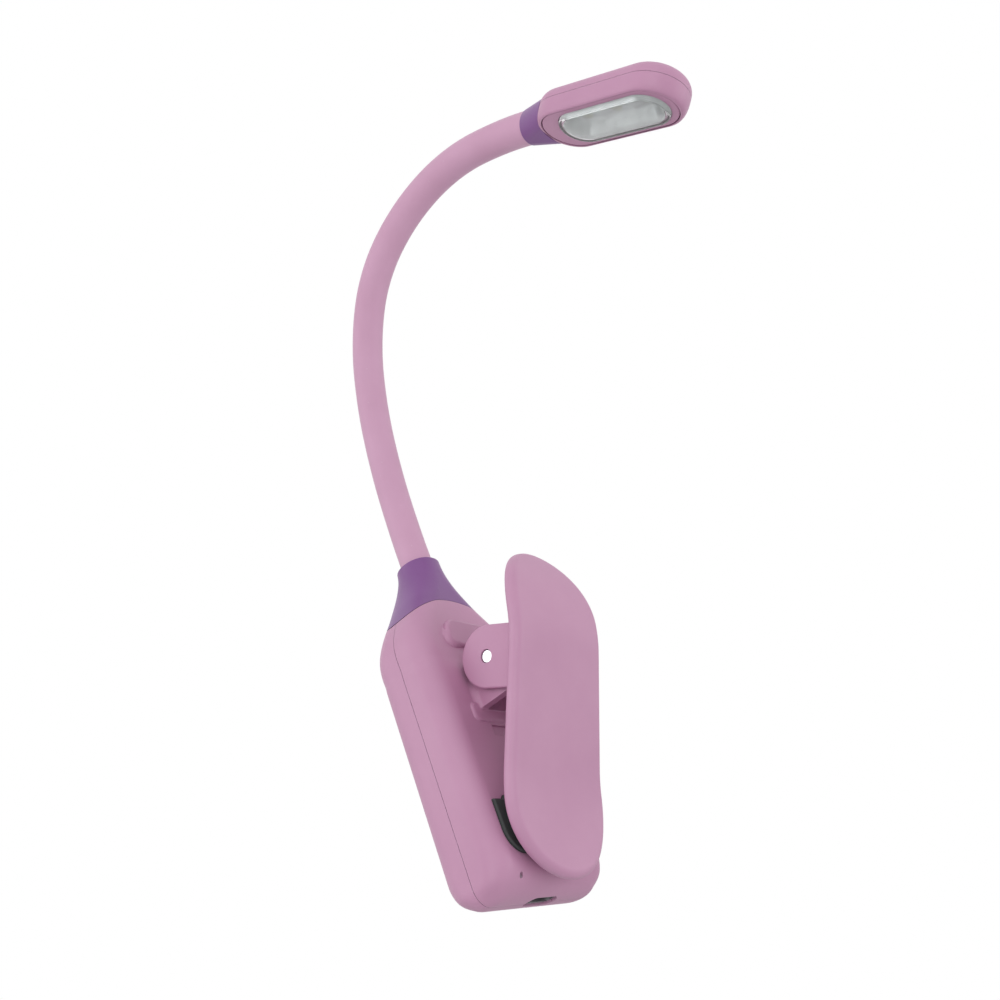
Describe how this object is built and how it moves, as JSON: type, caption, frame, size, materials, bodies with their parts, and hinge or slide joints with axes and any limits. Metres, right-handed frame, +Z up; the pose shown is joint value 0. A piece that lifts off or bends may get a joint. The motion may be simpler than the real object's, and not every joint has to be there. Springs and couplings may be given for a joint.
{
  "type": "clip-on reading lamp",
  "caption": "Rechargeable clip-on reading lamp: flat body with a sprung clip lever, bendable gooseneck and a small obround lamp head with a clear lens.",
  "frame": {"origin": "middle of the face of the grip pad on the body, where the clip holds its support", "axes": "+Z up along the body toward the neck, -Y out of the pad toward the clip lever, +X across the body"},
  "size_m": [0.0462, 0.1303, 0.1708],
  "materials": {
    "body_plastic": "satin",
    "collar_plastic": "satin",
    "neck_silicone": "matt",
    "grip_rubber": "matt",
    "pin_steel": "polished",
    "spring_steel": "drawn",
    "core_steel": "drawn",
    "screw_steel": "plated",
    "socket_steel": "plated",
    "battery_foil": "foil",
    "board_laminate": "coated",
    "white_laminate": "coated",
    "switch_plastic": "matt",
    "light_pipe": "clear",
    "lens_plastic": "clear",
    "reflector_chrome": "bright",
    "led_resin": "gloss"
  },
  "bodies": {
    "case": {"front_shell": "body_plastic", "back_shell": "body_plastic", "neck_collar": "collar_plastic", "body_grip_pad": "grip_rubber", "hinge_pin": "pin_steel", "torsion_spring": "spring_steel", "battery_cell": "battery_foil", "main_board": "board_laminate", "usb_socket": "socket_steel", "tactile_switch": "switch_plastic", "charge_light": "light_pipe", "case_screws": "screw_steel", "neck_sleeve_1": "neck_silicone", "neck_core_1": "core_steel"},
    "button": {"button_cap": "collar_plastic"},
    "lever": {"clip_lever": "body_plastic", "lever_grip_pad": "grip_rubber"},
    "neck_link_2": {"neck_sleeve_2": "neck_silicone", "neck_core_2": "core_steel"},
    "neck_link_3": {"neck_sleeve_3": "neck_silicone", "neck_core_3": "core_steel"},
    "neck_link_4": {"neck_sleeve_4": "neck_silicone", "neck_core_4": "core_steel"},
    "neck_link_5": {"neck_sleeve_5": "neck_silicone", "neck_core_5": "core_steel"},
    "neck_link_6": {"neck_sleeve_6": "neck_silicone", "neck_core_6": "core_steel"},
    "neck_link_7": {"neck_sleeve_7": "neck_silicone", "neck_core_7": "core_steel"},
    "head": {"neck_sleeve_8": "neck_silicone", "neck_core_8": "core_steel", "head_ferrule": "collar_plastic", "head_top_cover": "body_plastic", "head_housing": "body_plastic", "head_bezel": "body_plastic", "head_lens": "lens_plastic", "reflector_tray": "reflector_chrome", "led_board": "white_laminate", "led_chips": "led_resin"}
  },
  "joints": [
    {"name": "clip_hinge", "type": "hinge", "parent": "case", "child": "lever", "pos_m": [0, -0.0073, 0.0351], "axis": [-1, 0, 0], "range_deg": [0, 30], "stiffness_Nm_per_rad": 0.08, "springref_deg": -40.11, "deforming": ["torsion_spring"]},
    {"name": "button_press", "type": "slide", "parent": "case", "child": "button", "axis": [0, -1, 0], "range_m": [0, 0.0006], "stiffness_N_per_m": 60, "springref_m": -0.002},
    {"name": "neck_bend_1", "type": "hinge", "parent": "case", "child": "neck_link_2", "pos_m": [-0.00107, 0.00775, 0.0919], "axis": [0.993, -0.0083, 0.118], "range_deg": [-20, 12]},
    {"name": "neck_bend_2", "type": "hinge", "parent": "neck_link_2", "child": "neck_link_3", "pos_m": [-0.00387, 0.00387, 0.10923], "axis": [-0.0327, 0.9564, 0.2901], "range_deg": [-20, 20]},
    {"name": "neck_bend_3", "type": "hinge", "parent": "neck_link_3", "child": "neck_link_4", "pos_m": [-0.0076, -0.0029, 0.12546], "axis": [0.9728, -0.0396, 0.2282], "range_deg": [-20, 12]},
    {"name": "neck_bend_4", "type": "hinge", "parent": "neck_link_4", "child": "neck_link_5", "pos_m": [-0.01125, -0.01325, 0.13965], "axis": [-0.1267, 0.729, 0.6727], "range_deg": [-20, 20]},
    {"name": "neck_bend_5", "type": "hinge", "parent": "neck_link_5", "child": "neck_link_6", "pos_m": [-0.0136, -0.02793, 0.14955], "axis": [0.9806, 0.002, 0.196], "range_deg": [-20, 12]},
    {"name": "neck_bend_6", "type": "hinge", "parent": "neck_link_6", "child": "neck_link_7", "pos_m": [-0.01436, -0.04544, 0.15316], "axis": [-0.1976, 0.0211, 0.9801], "range_deg": [-20, 20]},
    {"name": "neck_bend_7", "type": "hinge", "parent": "neck_link_7", "child": "head", "pos_m": [-0.01442, -0.06287, 0.14936], "axis": [0.98, -0.0825, 0.1811], "range_deg": [-20, 12]}
  ]
}
